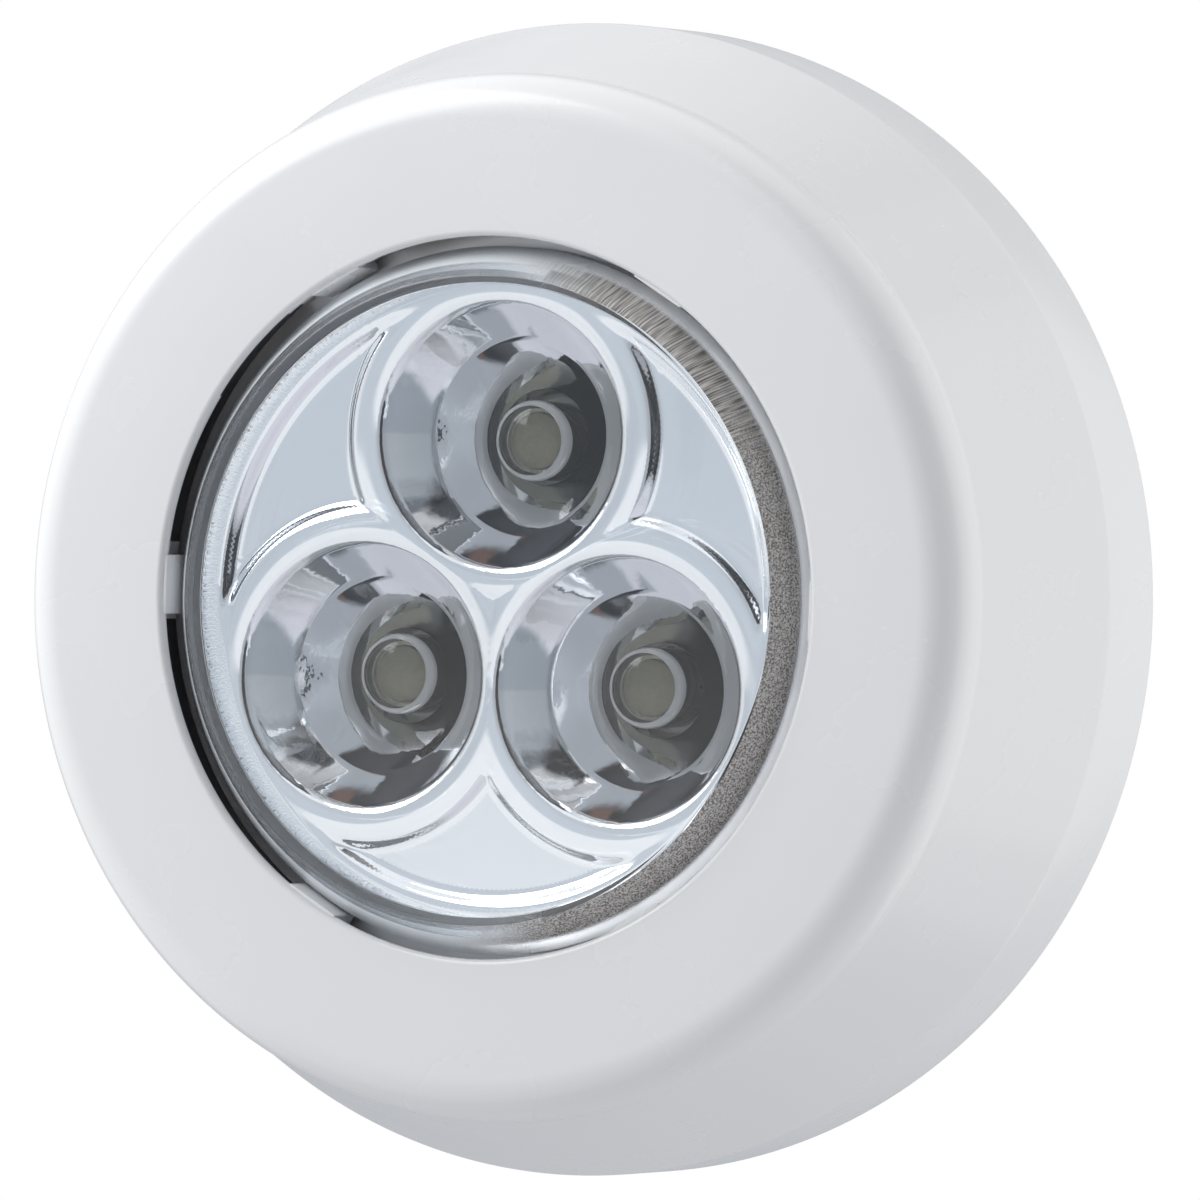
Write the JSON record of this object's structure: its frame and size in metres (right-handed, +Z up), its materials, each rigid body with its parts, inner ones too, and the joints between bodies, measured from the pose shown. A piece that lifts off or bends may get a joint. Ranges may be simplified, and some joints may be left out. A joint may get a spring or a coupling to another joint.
{
  "type": "battery mini light",
  "caption": "Stepped round white push light with a clear push button over a mirrored reflector and its diodes, on a twist-off back cover with an adhesive pad.",
  "frame": {"origin": "centre of the adhesive pad's flat wall face", "axes": "+Y into the wall, so the light faces -Y; +Z up as in the picture; +X to the right seen from the front"},
  "size_m": [0.07, 0.0225, 0.07],
  "materials": {
    "white_plastic": "polished moulded white",
    "white_foam": "matt foam",
    "grey_plastic": "satin moulded grey",
    "clear_plastic": "polished clear face, frosted side",
    "mirror_coat": "bright mirror coat on plastic",
    "led_resin": "clear resin",
    "board_laminate": "satin laminate",
    "resistor_body": "satin lacquer",
    "black_plastic": "satin moulded black",
    "spring_steel": "drawn wire",
    "zinc_steel": "zinc plated",
    "nickel_strip": "nickel plated strip",
    "cell_sleeve": "satin printed sleeve, no print",
    "red_sleeve": "satin wire sleeve",
    "black_sleeve": "satin wire sleeve",
    "yellow_sleeve": "satin wire sleeve"
  },
  "bodies": {
    "wall_plate": {"back_cover": "white_plastic", "adhesive_pad": "white_foam"},
    "lamp_body": {"front_housing": "white_plastic", "battery_chassis": "grey_plastic", "push_switch_body": "black_plastic", "push_switch_spring": "spring_steel", "positive_terminal": "nickel_strip", "negative_terminal": "nickel_strip", "series_contact_1": "nickel_strip", "series_contact_2": "nickel_strip", "wire_cell_to_switch": "red_sleeve", "wire_cell_to_board": "black_sleeve", "wire_switch_to_board": "yellow_sleeve", "battery_cell_1": "cell_sleeve", "contact_spring_1": "spring_steel", "chassis_screw_1": "zinc_steel", "battery_cell_2": "cell_sleeve", "contact_spring_2": "spring_steel", "chassis_screw_2": "zinc_steel", "battery_cell_3": "cell_sleeve", "contact_spring_3": "spring_steel", "chassis_screw_3": "zinc_steel"},
    "push_unit": {"button_lens": "clear_plastic", "reflector": "mirror_coat", "led_top": "led_resin", "led_left": "led_resin", "led_right": "led_resin", "led_board": "board_laminate", "resistor": "resistor_body", "board_screw_1": "zinc_steel", "board_screw_2": "zinc_steel", "board_screw_3": "zinc_steel"},
    "switch_plunger": {"push_switch_plunger": "white_plastic"}
  },
  "joints": [
    {"name": "lamp_twist", "type": "hinge", "parent": "wall_plate", "child": "lamp_body", "pos_m": [0, 0, 0], "axis": [0, -1, 0], "range_deg": [0, 20]},
    {"name": "button_press", "type": "slide", "parent": "lamp_body", "child": "push_unit", "axis": [0, 1, 0], "range_m": [0, 0.0012], "stiffness_N_per_m": 600, "springref_m": -0.0025, "deforming": ["wire_cell_to_board", "wire_switch_to_board"]},
    {"name": "plunger_press", "type": "slide", "parent": "lamp_body", "child": "switch_plunger", "axis": [0, 1, 0], "range_m": [0, 0.0012], "deforming": ["push_switch_spring"]}
  ],
  "couplings": [
    {"joint": "plunger_press", "follows": "button_press", "ratio": 1}
  ]
}
